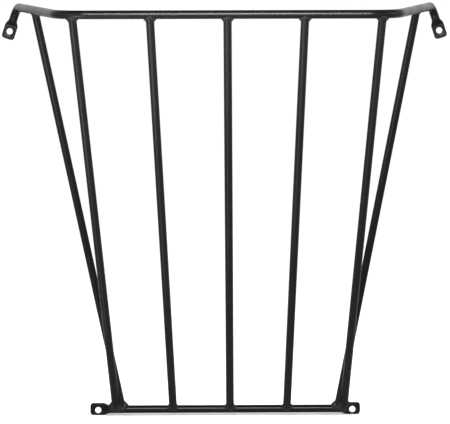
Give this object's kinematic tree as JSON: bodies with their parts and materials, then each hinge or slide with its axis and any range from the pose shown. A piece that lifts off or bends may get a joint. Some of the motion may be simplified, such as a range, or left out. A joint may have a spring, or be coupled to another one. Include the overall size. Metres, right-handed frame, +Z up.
{
  "type": "wall hay rack",
  "caption": "Wall-mounted hay rack: a tapered basket of welded round steel tube, with flattened bolt lugs at the top and foot.",
  "frame": {"origin": "on the wall plane, midway between the two top bolt holes", "axes": "+Z up, +Y into the wall, so the rack stands out towards -Y; +X to the right as seen from the front"},
  "size_m": [0.7394, 0.372, 0.6905],
  "materials": {
    "hoop_coat": "satin black powder coat",
    "rail_coat": "satin black powder coat",
    "bar_coat": "satin black powder coat",
    "weld_coat": "black powder coat over weld metal"
  },
  "bodies": {
    "root": {"top_hoop": "hoop_coat", "bottom_rail": "rail_coat", "front_bar_1": "bar_coat", "front_bar_2": "bar_coat", "front_bar_3": "bar_coat", "front_bar_4": "bar_coat", "front_bar_5": "bar_coat", "side_bar_left": "bar_coat", "side_bar_right": "bar_coat", "weld_top_front_bar_1": "weld_coat", "weld_top_front_bar_2": "weld_coat", "weld_top_front_bar_3": "weld_coat", "weld_top_front_bar_4": "weld_coat", "weld_top_front_bar_5": "weld_coat", "weld_top_side_bar_left": "weld_coat", "weld_top_side_bar_right": "weld_coat", "weld_foot_front_bar_2": "weld_coat", "weld_foot_front_bar_3": "weld_coat", "weld_foot_front_bar_4": "weld_coat", "weld_foot_pair_left": "weld_coat", "weld_foot_pair_right": "weld_coat"}
  },
  "joints": []
}
